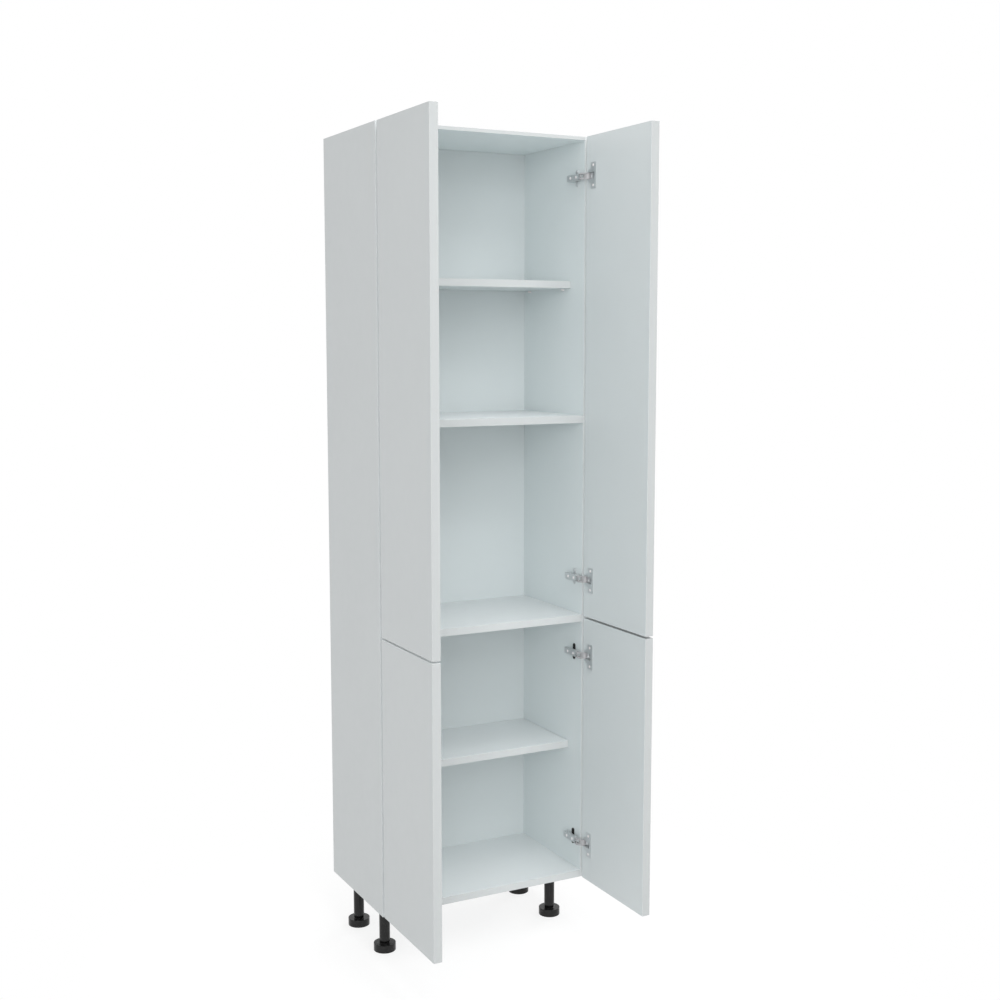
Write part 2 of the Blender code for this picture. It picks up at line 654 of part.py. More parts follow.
def leg_shapes():
    """The socket under the floor board, the tube in it, and the foot that screws into the tube."""
    centre = (0, 0)
    collar_top = FOOT_HEIGHT + COLLAR_HEIGHT
    stem_top = collar_top + STEM_LENGTH
    foot_radius = FOOT_DIAMETER / 2
    collar_radius = COLLAR_DIAMETER / 2
    foot = [
        (0, 0), (foot_radius - FOOT_CHAMFER, 0), (foot_radius, FOOT_CHAMFER),
        (foot_radius, FOOT_HEIGHT - FOOT_CHAMFER / 2), (foot_radius - FOOT_CHAMFER / 2, FOOT_HEIGHT),
        (collar_radius, FOOT_HEIGHT), (collar_radius, collar_top),
        (STEM_DIAMETER / 2, collar_top), (STEM_DIAMETER / 2, stem_top), (0, stem_top),
    ]
    socket_top = LEG_HEIGHT - SEAT_GAP
    flange_low = socket_top - SOCKET_FLANGE_THICKNESS
    tube_radius = TUBE_DIAMETER / 2
    tube_low = collar_top + SEAT_GAP
    tube_top = flange_low - SEAT_GAP
    bore_radius = STEM_DIAMETER / 2 + STEM_CLEARANCE
    bore_top = stem_top + CUT_OVERRUN
    tube = [
        (0, bore_top), (bore_radius, bore_top), (bore_radius, tube_low), (tube_radius, tube_low),
        (tube_radius, tube_top), (0, tube_top),
    ]
    sleeve_inner = tube_radius + SEAT_GAP
    sleeve_outer = sleeve_inner + SOCKET_WALL
    sleeve_low = socket_top - SOCKET_DEPTH
    flange_radius = SOCKET_FLANGE_DIAMETER / 2
    socket = [
        (0, flange_low), (sleeve_inner, flange_low), (sleeve_inner, sleeve_low),
        (sleeve_outer, sleeve_low), (sleeve_outer, flange_low), (flange_radius, flange_low),
        (flange_radius, socket_top), (0, socket_top),
    ]
    return {
        "foot": turned(foot, "z", centre, LEG_SIDES),
        "tube": turned(tube, "z", centre, LEG_SIDES),
        "socket": turned(socket, "z", centre, LEG_SIDES),
    }


def legs(look):
    meshes = {}
    for kind, mesh in leg_shapes().items():
        bmesh.ops.remove_doubles(mesh, verts=mesh.verts[:], dist=SEAT_GAP / 4)
        meshes[kind] = finish(mesh, f"leg_{kind}")
    for side, word in ((-1, "left"), (1, "right")):
        for end, leg_y in (
            ("front", FRONT_Y + LEG_FRONT_SETBACK),
            ("rear", REAR_Y - LEG_REAR_SETBACK),
        ):
            spot_on_floor = (side * (HALF_WIDTH - LEG_SIDE_INSET), leg_y, 0)
            for kind, data in meshes.items():
                dressed(place(f"leg_{kind}_{end}_{word}", data, spot_on_floor), look)


def report_pivots():
    """Print each joint's place and how far it turns as its door closes."""
    outer_turn = math.degrees(closing_turn(OUTER_ARM_PIN, OUTER_CUP_PINS))
    inner_turn = math.degrees(closing_turn(INNER_ARM_PIN, INNER_CUP_PINS))
    print("outer link turns", round(outer_turn, 4), "inner link turns", round(inner_turn, 4))
    for word, side in (("left", -1), ("right", 1)):
        for kind, pin in (("outer", OUTER_ARM_PIN), ("inner", INNER_ARM_PIN), ("cup", OUTER_CUP_PIN)):
            print(word, kind, [round(value, 6) for value in pivot_location(pin, side, 0)])


def main():
    clear_scene()
    board = material("lacquered_board", (0.565, 0.597, 0.604), 0.45, 0)
    looks = {
        "door": material("lacquered_door", (0.565, 0.597, 0.604), 0.4, 0),
        "steel": material("nickel_plated_steel", (0.55, 0.56, 0.56), 0.3, 1),
        "link": material("bright_steel", (0.68, 0.69, 0.7), 0.22, 1),
    }
    carcass(board)
    doors(looks)
    legs(material("black_plastic", (0.03, 0.03, 0.03), 0.35, 0))
    report_pivots()


main()
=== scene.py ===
"""The looks of the tall larder unit, on the frame of its CAD model. Metres, in the frame's own axes."""

import math

import bmesh
import bpy
from mathutils import Matrix, Vector


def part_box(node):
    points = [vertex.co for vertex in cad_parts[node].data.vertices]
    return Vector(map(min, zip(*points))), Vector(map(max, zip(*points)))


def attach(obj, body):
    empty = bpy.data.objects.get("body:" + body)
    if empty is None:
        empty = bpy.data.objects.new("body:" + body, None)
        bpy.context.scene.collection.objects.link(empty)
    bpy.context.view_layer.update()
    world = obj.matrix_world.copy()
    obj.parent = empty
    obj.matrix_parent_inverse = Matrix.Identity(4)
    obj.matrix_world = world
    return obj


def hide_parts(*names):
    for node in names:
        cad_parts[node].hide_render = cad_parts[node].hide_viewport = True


# Camera, from a fit to the straight edges in the photo: its place from the middle of the carcass's front
# edge at floor level, and the way it looks
CAMERA_OFFSET = (-1.5998, -3.1269, 1.5935)
CAMERA_AZIMUTH = math.radians(27.60)
CAMERA_PITCH = math.radians(-6.587)
CAMERA_LENS_MM = 50.0
SENSOR_MM = 36.0

# Light: an even sky and soft square lamps, as name, place and watts. The rear one stands clear of where the
# feet would mirror it into the camera.
SKY_COLOUR = (1.0, 1.0, 1.0)
SKY_STRENGTH = 0.65
SKY_STRENGTH_SEEN = 1.0
LAMP_AIM = (0, 0, 1.1)
LAMP_SIDE = 4.0
LAMPS = (
    ("high_front_lamp", (0, -7.0, 6.0), 128),
    ("steep_front_lamp", (0, -4.5, 7.0), 140),
    ("left_front_lamp", (-4.5, -7.0, 2.4), 220),
    ("left_lamp", (-6.8, -5.0, 2.4), 36),
    ("overhead_lamp", (0, -1.0, 8.0), 145),
    ("right_rear_lamp", (7.2, 4.2, 3.5), 270),
)
FLOOR_COLOURS = ((0.58, 0.58, 0.58), (0.60, 0.60, 0.60))
PAPER_COLOURS = ((0.98, 0.98, 0.98), (1.0, 1.0, 1.0))
FLOOR_CLOUDS = (2.0, 2.0)
FLOOR_BLEND = (0.3, 0.7)
FLOOR_ROUGHNESS = 0.9
FLOOR_SPECULAR = 0.1
FLOOR_HALF = 30.0
FLOOR_SHADOW_SHARE = 0.2
FLOOR_SHADOW_REACH = (0.45, 1.1)

# Board looks, as material, the two ends of a faint mottling, and specular level. Only the outer and lid
# rows are the decor's own colour; the other rows are lighter copies of it with painted light and darker
# copies with painted shade, for how the lamps reach each face.
BOARD_LOOKS = {
    "outer": ("outer_decor", ((0.553, 0.580, 0.585), (0.560, 0.587, 0.592)), 0.5),
    "lid": ("lid_decor", ((0.553, 0.580, 0.585), (0.560, 0.587, 0.592)), 0.12),
    # The inside faces: the decor painted lighter, as painted light for the shade inside the carcass.
    "inner": ("inner_decor_painted_light", ((0.708, 0.762, 0.770), (0.717, 0.770, 0.778)), 0.5),
    # The back panel's front: the decor painted lighter, as painted light for the shade at the back of the
    # compartments.
    "back": ("back_decor_painted_light", ((0.656, 0.702, 0.709), (0.664, 0.710, 0.717)), 0.5),
    # The top board's underside: the decor painted much lighter, as painted light where little light
    # reaches.
    "ceiling": ("ceiling_decor_painted_light", ((0.816, 0.882, 0.890), (0.824, 0.891, 0.898)), 0.5),
    # The shelf tops: the decor painted lighter, and lighter still on the lower shelves, as painted light.
    "shelf": ("shelf_decor_painted_light", ((0.704, 0.736, 0.744), (0.712, 0.744, 0.752)), 0.5),
    "low_shelf": ("low_shelf_decor_painted_light", ((0.753, 0.789, 0.797), (0.761, 0.797, 0.805)), 0.5),
    # The doors' inside faces: the decor painted lighter, as painted light for their shade.
    "door_inside": ("door_inside_decor_painted_light", ((0.665, 0.706, 0.713), (0.673, 0.714, 0.721)), 0.5),
    # The carcass's front edges: painted darker than the decor, as painted shade against the front lamps,
    # and a little less dark low down, as painted light where less light reaches.
    "band": ("edge_band_painted_shade", ((0.529, 0.552, 0.554), (0.537, 0.560, 0.562)), 0.5),
    "low_band": ("low_edge_band_painted_light", ((0.567, 0.592, 0.594), (0.575, 0.599, 0.601)), 0.5),
    # The sides' front edges: painted lighter, as painted light over the shade beside the open doors.
    "side_band": ("side_edge_band_painted_light", ((0.640, 0.670, 0.676), (0.648, 0.678, 0.684)), 0.5),
    # The doors' free edges: painted darker, as painted shade against the front lamps.
    "door_band": ("door_edge_band_painted_shade", ((0.480, 0.501, 0.503), (0.488, 0.509, 0.511)), 0.5),
    # The doors' meeting edges: painted lighter on the left doors and darker on the right ones, as painted
    # light and painted shade in the gap.
    "light_split": ("split_band_painted_light", ((0.791, 0.819, 0.823), (0.799, 0.826, 0.831)), 0.5),
    "dark_split": ("split_band_painted_shade", ((0.384, 0.413, 0.418), (0.392, 0.420, 0.425)), 0.5),
}

# Metal looks, as material, mottling, range of roughness, and metallic share
METAL_LOOKS = {
    "nickel": ("nickel_plate", ((0.65, 0.67, 0.68), (0.68, 0.70, 0.71)), (0.42, 0.54), 0.9),
    "bright": ("satin_zinc", ((0.40, 0.40, 0.41), (0.44, 0.44, 0.45)), (0.5, 0.62), 0.2),
    "black": ("black_plate", ((0.010, 0.010, 0.010), (0.016, 0.016, 0.016)), (0.42, 0.54), 0.3),
    "screw": ("zinc_screw", ((0.90, 0.85, 0.85), (0.95, 0.90, 0.90)), (0.32, 0.42), 0.15),
}

# Plastic looks, as material, mottling, and specular level. The collar row is the same plastic painted
# darker and less glossy, as painted shade at the foot of the tube.
PLASTIC_LOOKS = {
    "plastic": ("moulded_black_plastic", ((0.014, 0.014, 0.014), (0.020, 0.020, 0.020)), 0.22),
    "collar": ("black_collar_painted_shade", ((0.003, 0.003, 0.003), (0.005, 0.005, 0.005)), 0.06),
}

# How each finish varies: noises as cycles per metre and detail, the blend of the two colours as the noise
# values at its ends, relief as metres and strength
BOARD_FINISH = {
    "clouds": (5.0, 3.0), "blend": (0.35, 0.65), "sheen": (40.0, 4.0), "grain": (900.0, 2.0),
    "relief": (0.00005, 0.25),
}
METAL_FINISH = {
    "clouds": (300.0, 3.0), "blend": (0.35, 0.65), "sheen": (700.0, 3.0), "grain": (1500.0, 2.0),
    "relief": (0.00002, 0.3),
}
PLASTIC_FINISH = {
    "clouds": (60.0, 3.0), "blend": (0.3, 0.7), "sheen": (200.0, 3.0), "grain": (1200.0, 2.0),
    "relief": (0.00004, 0.3),
}
BOARD_ROUGHNESS = (0.36, 0.46)
PLASTIC_ROUGHNESS = (0.17, 0.25)
NOISE_MIDDLE = (0.25, 0.75)

# Boards
BOARD = 0.019
SEAT_GAP = 0.0003
EDGE_ROUND = 0.0005
EDGE_STEPS = 3
PEG_RADIUS = 0.0025
PEG_LENGTH = 0.008
PEG_END_DISTANCE = 0.037
LOOSE_SHELVES = ("loose_shelf_upper", "loose_shelf_lower")
BORE_RADIUS = 0.0175
BORE_DEPTH = 0.013

# Hinges, in a plan of their own for a left door: u inwards from the side's outer face, v forwards from the
# carcass, z up from the hinge's middle. The pins stand where the CAD model's joints are.
CUP_CENTRE_V = 0.036
DOOR_INNER_U = 0.021
CUP_RADIUS = 0.0172
CUP_DEPTH = 0.0127
CUP_WALL = 0.001
CUP_CHAMFER = 0.0015
CUP_NOTCH_DEPTH = 0.0036
FLANGE_SIZE = (0.024, 0.066, 0.001)
FLANGE_V = 0.0465
FLANGE_RIM = 0.0015
FLANGE_CORNER = 0.002
CUP_SCREW_HALF_SPACING = 0.025
CUP_SCREW_RADIUS = 0.0035
CUP_SCREW_HEAD = 0.0007
PLATE_THICKNESS = 0.002
PLATE_SCREW_V = -0.037
PLATE_SCREW_HALF_SPACING = 0.016
PLATE_SCREW_RADIUS = 0.00375
PLATE_SCREW_HEAD = 0.0014
PLATE_WING_HALF = 0.0055
RISER_HALF = 0.0053
RISER_REACH = (-0.058, -0.016)
ARM_TOP_U = 0.035
ARM_REACH = (-0.064, -0.003)
ARM_HALF = 0.0085
ARM_PLATE = 0.0014
ARM_BEND = 0.0018
ARM_CHEEK_HEIGHT = 0.009
ARM_CORNER = 0.003
ARM_SCREW_VS = (-0.018, -0.046)
ARM_SCREW_RADIUS = 0.0034
ARM_SCREW_HEAD = 0.0009
ARM_SLOT_HALF = 0.0012
ARM_SLOT_LENGTH = 0.006
ARM_SLOT_DEPTH = 0.0004
NOSE_ROOT_V = -0.013
NOSE_RADIUS = 0.0026
NOSE_HALVES = (0.0050, 0.0064)
OUTER_ARM_PIN = (0.0357, 0.0078)
INNER_ARM_PIN = (0.0283, 0.0109)
OUTER_CUP_PIN = (0.019712, 0.024226)
INNER_CUP_PIN = (0.016510, 0.022995)
OUTER_LINK = {"radius": 0.0017, "bow": 0.0026, "crest": 0.5}
INNER_LINK = {"radius": 0.0015, "bow": 0.0037, "crest": 0.66}
OUTER_LINK_HALVES = (0.0068, 0.0082)
INNER_LINK_HALF = 0.0046
INNER_LINK_BROAD_HALF = 0.0064
NOSE_CLEAR_RADIUS = 0.0031
PIN_RADIUS = 0.001
PIN_CLEARANCE = 0.0002
STUB_REACH = 0.0099
POCKET_HALF = 0.0086
POCKET_RADIUS = 0.0162
NOTCH_HALF = 0.0085
RECESS_REACH_SHARE = 0.62
RECESS_WIDTH_SHARE = 0.2
RECESS_DEPTH_SHARE = 0.8
CUT_OVERRUN = 0.001
OVERLAP = 0.0003

# The numbers of the looks in a hinge shape, in the order in which add_hinges lists them
MAIN_LOOK, SCREW_LOOK, PLATE_LOOK, NOSE_LOOK = range(4)

# Legs
FOOT_RADIUS = 0.029
FOOT_HEIGHT = 0.020
FOOT_EASE = 0.0008
COLLAR_RADIUS = 0.01325
COLLAR_HEIGHT = 0.0062
TUBE_RADIUS = 0.014
STEM_RADIUS = 0.006
STEM_LENGTH = 0.062
STEM_CLEARANCE = 0.0004
SOCKET_FLANGE_RADIUS = 0.033
SOCKET_FLANGE_THICKNESS = 0.004
SOCKET_WALL = 0.003
SOCKET_DEPTH = 0.036

# Smoothness
PIN_SIDES = 16
SCREW_SIDES = 32
CORNER_STEPS = 5
STRAP_STEPS = 12
POCKET_STEPS = 10
CUP_SIDES = 64
LEG_SIDES = 72
PEG_SIDES = 24
EASE = 0.0002
NOSE_EASE = 0.0001
TUBE_EASE = 0.0004
SCREW_EASE_SHARE = 1 / 3
EASE_STEPS = 2
ROUND_PROFILE = 0.5
SHARP_ANGLE = math.radians(30)
QUARTER_TURN = math.pi / 2
FULL_TURN = math.tau
BROAD_FACE_WEIGHT = 100
SCREW_TURN_SHARE = 0.07


# Looks


def new_material(name, specular):
    """A material and its shader."""
    made = bpy.data.materials.new(name)
    made.use_nodes = True
    shader = made.node_tree.nodes["Principled BSDF"]
    shader.inputs["Specular IOR Level"].default_value = specular
    return made, shader


def noise(tree, scale, detail):
    """A noise over the object's own coordinates, in cycles per metre."""
    place = tree.nodes.new("ShaderNodeTexCoord")
    texture = tree.nodes.new("ShaderNodeTexNoise")
    texture.inputs["Scale"].default_value = scale
    texture.inputs["Detail"].default_value = detail
    tree.links.new(place.outputs["Object"], texture.inputs["Vector"])
    return texture.outputs["Fac"]


def ramp(tree, factor, low, high, colours):
    """Two colours, blended between a low and a high value of the factor."""
    blend = tree.nodes.new("ShaderNodeValToRGB")
    blend.color_ramp.elements[0].position = low
    blend.color_ramp.elements[1].position = high
    for element, colour in zip(blend.color_ramp.elements, colours):
        element.color = (*colour, 1)
    tree.links.new(factor, blend.inputs["Fac"])
    return blend.outputs["Color"]


def spread(tree, factor, low, high):
    """The factor's middle half, stretched to lie between two values."""
    scaled = tree.nodes.new("ShaderNodeMapRange")
    scaled.inputs["From Min"].default_value = NOISE_MIDDLE[0]
    scaled.inputs["From Max"].default_value = NOISE_MIDDLE[1]
    scaled.inputs["To Min"].default_value = low
    scaled.inputs["To Max"].default_value = high
    tree.links.new(factor, scaled.inputs["Value"])
    return scaled.outputs["Result"]


def bump(tree, shader, factor, depth, strength):
    """Relief of a given depth in metres."""
    relief = tree.nodes.new("ShaderNodeBump")
    relief.inputs["Distance"].default_value = depth
    relief.inputs["Strength"].default_value = strength
    tree.links.new(factor, relief.inputs["Height"])
    tree.links.new(relief.outputs["Normal"], shader.inputs["Normal"])


def varied_material(name, colours, finish, rough, specular=0.5):
    """A material whose colour, roughness and surface vary a little, in the way of its finish."""
    made, shader = new_material(name, specular)
    tree = made.node_tree
    clouds = noise(tree, *finish["clouds"])
    tree.links.new(ramp(tree, clouds, *finish["blend"], colours), shader.inputs["Base Color"])
    tree.links.new(spread(tree, noise(tree, *finish["sheen"]), *rough), shader.inputs["Roughness"])
    bump(tree, shader, noise(tree, *finish["grain"]), *finish["relief"])
    return made, shader


def board_material(name, colours, specular):
    """Matt decor for faces and edges, and its lighter and darker copies with painted light and painted
    shade.
    """
    made, _ = varied_material(name, colours, BOARD_FINISH, BOARD_ROUGHNESS, specular)
    return made


def metal_material(name, colours, rough, metallic):
    """Satin plated metal, with faint clouds in the plating."""
    made, shader = varied_material(name, colours, METAL_FINISH, rough)
    shader.inputs["Metallic"].default_value = metallic
    return made


def plastic_material(name, colours, specular):
    """Moulded plastic, semi-gloss, with a fine skin."""
    made, _ = varied_material(name, colours, PLASTIC_FINISH, PLASTIC_ROUGHNESS, specular)
    return made


def make_looks():
    """Every material, by the short name of its look."""
    looks = {key: board_material(*row) for key, row in BOARD_LOOKS.items()}
    looks |= {key: metal_material(*row) for key, row in METAL_LOOKS.items()}
    looks |= {key: plastic_material(*row) for key, row in PLASTIC_LOOKS.items()}
    return looks


# Shapes


def spot(pair, axis, height):
    """A point from its two coordinates across the axis, in x, y, z order, and its height along the axis."""
    point = list(pair)
    point.insert("xyz".index(axis), height)
    return point


def prism(outline, axis, low, high):
    """An outline in the plane across the axis, extruded from low to high along it."""
    mesh = bmesh.new()
    face = mesh.faces.new([mesh.verts.new(spot(pair, axis, low)) for pair in outline])
    moved = bmesh.ops.extrude_face_region(mesh, geom=[face])["geom"]
    rise = [vert for vert in moved if isinstance(vert, bmesh.types.BMVert)]
    bmesh.ops.translate(mesh, verts=rise, vec=spot((0, 0), axis, high - low))
    bmesh.ops.recalc_face_normals(mesh, faces=mesh.faces[:])
    return mesh


def upright(outline, low, high):
    return prism(outline, "z", low, high)


def layer_pair(outline, inside, outside):
    """The same plate above and below the middle of the hinge."""
    return [upright(outline, inside, outside), upright(outline, -outside, -inside)]


def circle(centre, radius, sides, start=0.0, sweep=FULL_TURN):
    """Points round a circle, or along an arc of it when the sweep is less than a full turn."""
    steps = sides if sweep >= FULL_TURN else sides + 1
    return [
        (
            centre[0] + radius * math.cos(start + sweep * step / sides),
            centre[1] + radius * math.sin(start + sweep * step / sides),
        )
        for step in range(steps)
    ]


def rectangle(low, high):
    return [(low[0], low[1]), (high[0], low[1]), (high[0], high[1]), (low[0], high[1])]


def rounded_box(low, high, radius):
    """The outline of a rectangle with round corners."""
    corners = ((high[0], high[1]), (low[0], high[1]), (low[0], low[1]), (high[0], low[1]))
    inwards = ((-1, -1), (1, -1), (1, 1), (-1, 1))
    points = []
    for turn, (corner, inward) in enumerate(zip(corners, inwards)):
        centre = (corner[0] + inward[0] * radius, corner[1] + inward[1] * radius)
        points += circle(centre, radius, CORNER_STEPS, turn * QUARTER_TURN, QUARTER_TURN)
    return points


def strap(start, end, radius, bow, crest):
    """The outline of a round-ended link between two pins, bowed to a crest part of the way along."""
    run = (end[0] - start[0], end[1] - start[1])
    length = math.hypot(*run)
    along = (run[0] / length, run[1] / length)
    aside = (along[1], -along[0])

    def edge(side):
        points = []
        for step in range(1, STRAP_STEPS):
            share = step / STRAP_STEPS
            climb = min(share / crest, (1 - share) / (1 - crest))
            reach = bow * climb * (2 - climb) + side * radius
            points.append((
                start[0] + run[0] * share + aside[0] * reach,
                start[1] + run[1] * share + aside[1] * reach,
            ))
        return points

    bearing = math.atan2(along[1], along[0])
    end_cap = circle(end, radius, PIN_SIDES // 2, bearing - QUARTER_TURN, FULL_TURN / 2)
    start_cap = circle(start, radius, PIN_SIDES // 2, bearing + QUARTER_TURN, FULL_TURN / 2)
    return edge(1) + end_cap + edge(-1)[::-1] + start_cap


def stretched(pins, radius):
    """The outline of a plate stretched round three or more pins, given anticlockwise."""
    points = []
    for before, pin, after in zip(pins[-1:] + pins[:-1], pins, pins[1:] + pins[:1]):
        arriving = math.atan2(pin[1] - before[1], pin[0] - before[0]) - QUARTER_TURN
        leaving = math.atan2(after[1] - pin[1], after[0] - pin[0]) - QUARTER_TURN
        points += circle(pin, radius, PIN_SIDES // 2, arriving, (leaving - arriving) % FULL_TURN)
    return points


def turned(profile, axis, centre, sides):
    """A profile of (radius, height) pairs, from one end of the axis to the other, spun a full turn."""
    mesh = bmesh.new()
    rings = []
    for radius, height in profile:
        pairs = circle(centre, radius, sides) if radius > 0 else [centre]
        rings.append([mesh.verts.new(spot(pair, axis, height)) for pair in pairs])
    for first, second in zip(rings, rings[1:]):
        for step in range(sides):
            following = (step + 1) % sides
            corners = [first[step % len(first)], first[following % len(first)]]
            corners += [second[following % len(second)], second[step % len(second)]]
            mesh.faces.new(list(dict.fromkeys(corners)))
    bmesh.ops.recalc_face_normals(mesh, faces=mesh.faces[:])
    return mesh


def eased(mesh, width, steps):
    """The shape with its sharp edges rounded."""
    sharp = [edge for edge in mesh.edges if edge.calc_face_angle(0) > SHARP_ANGLE]
    bmesh.ops.bevel(
        mesh, geom=sharp, offset=width, segments=steps, profile=ROUND_PROFILE, affect="EDGES",
        clamp_overlap=True,
    )
    return mesh


def smoothed(data):
    data.shade_smooth()
    data.set_sharp_from_angle(angle=SHARP_ANGLE)
    return data


def as_data(mesh, name):
    data = bpy.data.meshes.new(name)
    mesh.to_mesh(data)
    mesh.free()
    return smoothed(data)


def linked(name, data, location=(0, 0, 0)):
    obj = bpy.data.objects.new(name, data)
    obj.location = location
    bpy.context.scene.collection.objects.link(obj)
    return obj


def combined(name, base, others, ease=0.0):
    """One mesh from a base and (operation, shape) pairs, in order, with its edges eased at the end."""
    body = linked(name, as_data(base, name))
    helpers = []
    for step, (operation, shape) in enumerate(others):
        helper = linked(f"{name}_helper", as_data(shape, f"{name}_helper"))
        helpers.append(helper)
        modifier = body.modifiers.new(f"step_{step}", "BOOLEAN")
        modifier.operation = operation
        modifier.solver = "EXACT"
        modifier.object = helper
    if ease:
        modifier = body.modifiers.new("ease", "BEVEL")
        modifier.width = ease
        modifier.segments = EASE_STEPS
        modifier.limit_method = "ANGLE"
        modifier.angle_limit = SHARP_ANGLE
    bpy.context.view_layer.update()
    graph = bpy.context.evaluated_depsgraph_get()
    data = bpy.data.meshes.new_from_object(body.evaluated_get(graph))
    for obj in [body] + helpers:
        bpy.data.objects.remove(obj)
    data.name = name
    return smoothed(data)


def joined(name, parts):
    """One mesh from (mesh data, look number) pairs."""
    mesh = bmesh.new()
    for data, look in parts:
        before = len(mesh.faces)
        mesh.from_mesh(data)
        mesh.faces.ensure_lookup_table()
        for face in mesh.faces[before:]:
            face.material_index = look
    return as_data(mesh, name)


def unions(shapes):
    return [("UNION", shape) for shape in shapes]


def cuts(shapes):
    return [("DIFFERENCE", shape) for shape in shapes]


def dress(obj, looks, body, nodes):
    """Finish a piece: materials, the body that it rides on and the CAD nodes it stands for."""
    for look in looks:
        obj.data.materials.append(look)
    level = obj.modifiers.new("level_broad_faces", "WEIGHTED_NORMAL")
    level.weight = BROAD_FACE_WEIGHT
    level.keep_sharp = True
    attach(obj, body)
    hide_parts(*nodes)


# Boards


def is_along_front(edge, front):
    """Whether an edge is one of the two long ones of a level board's front face."""
    start, end = (vert.co for vert in edge.verts)
    return max(start.y, end.y) < front + SEAT_GAP and abs(start.x - end.x) > SEAT_GAP


def slab(low, high, front_only=False):
    """A board between two corners, with all its edges rounded or only the two along its front."""
    mesh = prism(rectangle(low[:2], high[:2]), "z", low[2], high[2])
    edges = [edge for edge in mesh.edges if is_along_front(edge, low[1]) or not front_only]
    bmesh.ops.bevel(
        mesh, geom=edges, offset=EDGE_ROUND, segments=EDGE_STEPS, profile=ROUND_PROFILE, affect="EDGES"
    )
    return mesh


def paint(data, faces, rest, looks):
    """Give the board's sides their looks, by the axis and sign that they face."""
    names = [rest] + sorted(set(faces.values()) - {rest})
    for name in names:
        data.materials.append(looks[name])
    for polygon in data.polygons:
        axis = max(range(3), key=lambda number: abs(polygon.normal[number]))
        sign = 1 if polygon.normal[axis] > 0 else -1
        polygon.material_index = names.index(faces.get((axis, sign), rest))


def board(name, low, high, faces, rest, looks, front_only=False):
    data = as_data(slab(low, high, front_only), f"{name}_board")
    paint(data, faces, rest, looks)
    dress(linked(f"{name}_board", data), [], "carcass", [name])


def fitted_board(name, faces, rest, looks, more_low, more_high):
    """A board closed up to the ones that it is fixed to, with only its front edges rounded."""
    low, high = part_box(name)
    low = [value - more for value, more in zip(low, more_low)]
    high = [value + more for value, more in zip(high, more_high)]
    board(name, low, high, faces, rest, looks, front_only=True)


def add_carcass(looks):
    # Inside faces, shelf tops, the top's underside and the back get lighter copies of the decor, as painted
    # light; the front edges get darker copies, as painted shade, a little less dark low down, and the
    # sides' front edges a lighter one, as painted light.
    upper = {(2, 1): "shelf", (2, -1): "inner", (1, -1): "band"}
    lower = {(2, 1): "low_shelf", (2, -1): "inner", (1, -1): "low_band"}
    split = {(2, 1): "shelf", (2, -1): "inner", (1, -1): "low_band"}
    top = {(2, 1): "lid", (2, -1): "ceiling", (1, -1): "band"}
    sideways = (SEAT_GAP, 0, 0)
    rearwards = (SEAT_GAP, SEAT_GAP, 0)
    upwards = (SEAT_GAP, 0, SEAT_GAP)
    fitted_board("bottom_panel", lower, "inner", looks, sideways, sideways)
    fitted_board("top_panel", top, "outer", looks, sideways, sideways)
    fitted_board("back_panel", {(1, -1): "back"}, "outer", looks, upwards, upwards)
    fitted_board("fixed_shelf_upper", upper, "inner", looks, sideways, rearwards)
    fitted_board("fixed_shelf_split", split, "inner", looks, sideways, rearwards)
    for name, faces in zip(LOOSE_SHELVES, (upper, lower)):
        board(name, *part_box(name), faces, "inner", looks)
    for side, word in ((-1, "left"), (1, "right")):
        name = f"side_panel_{word}"
        low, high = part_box(name)
        outer_x = side * max(abs(low[0]), abs(high[0]))
        inner_x = outer_x - side * BOARD
        low = (min(outer_x, inner_x), low[1], low[2])
        high = (max(outer_x, inner_x), high[1], high[2])
        board(name, low, high, {(0, -side): "inner", (1, -1): "side_band"}, "outer", looks)
        add_pegs(side, word, inner_x, name, looks)


def add_pegs(side, word, inner_x, node, looks):
    """The steel pegs that a side holds for the loose shelves."""
    pegs = []
    for shelf in LOOSE_SHELVES:
        low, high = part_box(shelf)
        for peg_y in (low[1] + PEG_END_DISTANCE, high[1] + SEAT_GAP - PEG_END_DISTANCE):
            outline = circle((peg_y, low[2] - SEAT_GAP - PEG_RADIUS), PEG_RADIUS, PEG_SIDES)
            ends = sorted((inner_x + side * OVERLAP, inner_x - side * PEG_LENGTH))
            peg = eased(prism(outline, "x", *ends), EASE, EASE_STEPS)
            pegs.append((as_data(peg, "peg"), 0))
    piece = linked(f"shelf_pegs_{word}", joined(f"shelf_pegs_{word}", pegs))
    dress(piece, [looks["screw"]], "carcass", [node])


def add_door(level, side, word, looks):
    """A slab door with the two bores for its hinge cups."""
    tag = f"{level}_{word}"
    node = f"door_{tag}"
    low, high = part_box(node)
    inner_x = low[0] if side > 0 else high[0]
    bores = []
    for end in ("top", "bottom"):
        centre = (front_y() - CUP_CENTRE_V, hinge_height(f"{tag}_{end}"))
        outline = circle(centre, BORE_RADIUS, CUP_SIDES)
        ends = sorted((inner_x - side * CUT_OVERRUN, inner_x + side * BORE_DEPTH))
        bores.append(prism(outline, "x", *ends))
    data = combined(f"{node}_slab", slab(low, high), cuts(bores))
    # The inside face is painted lighter and the free edge darker, and the meeting edge lighter on a left
    # door and darker on a right one: painted light and painted shade.
    meeting = (2, 1 if level == "lower" else -1)
    split = "dark_split" if side > 0 else "light_split"
    paint(data, {(0, -side): "door_inside", (1, -1): "door_band", meeting: split}, "outer", looks)
    dress(linked(f"{node}_slab", data), [], node, [node])


# Hinges


def front_y():
    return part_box("bottom_panel")[0][1]


def side_x():
    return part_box("side_panel_right")[1][0]


def hinge_height(tag):
    low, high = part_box(f"hinge_arm_{tag}")
    return (low[2] + high[2]) / 2


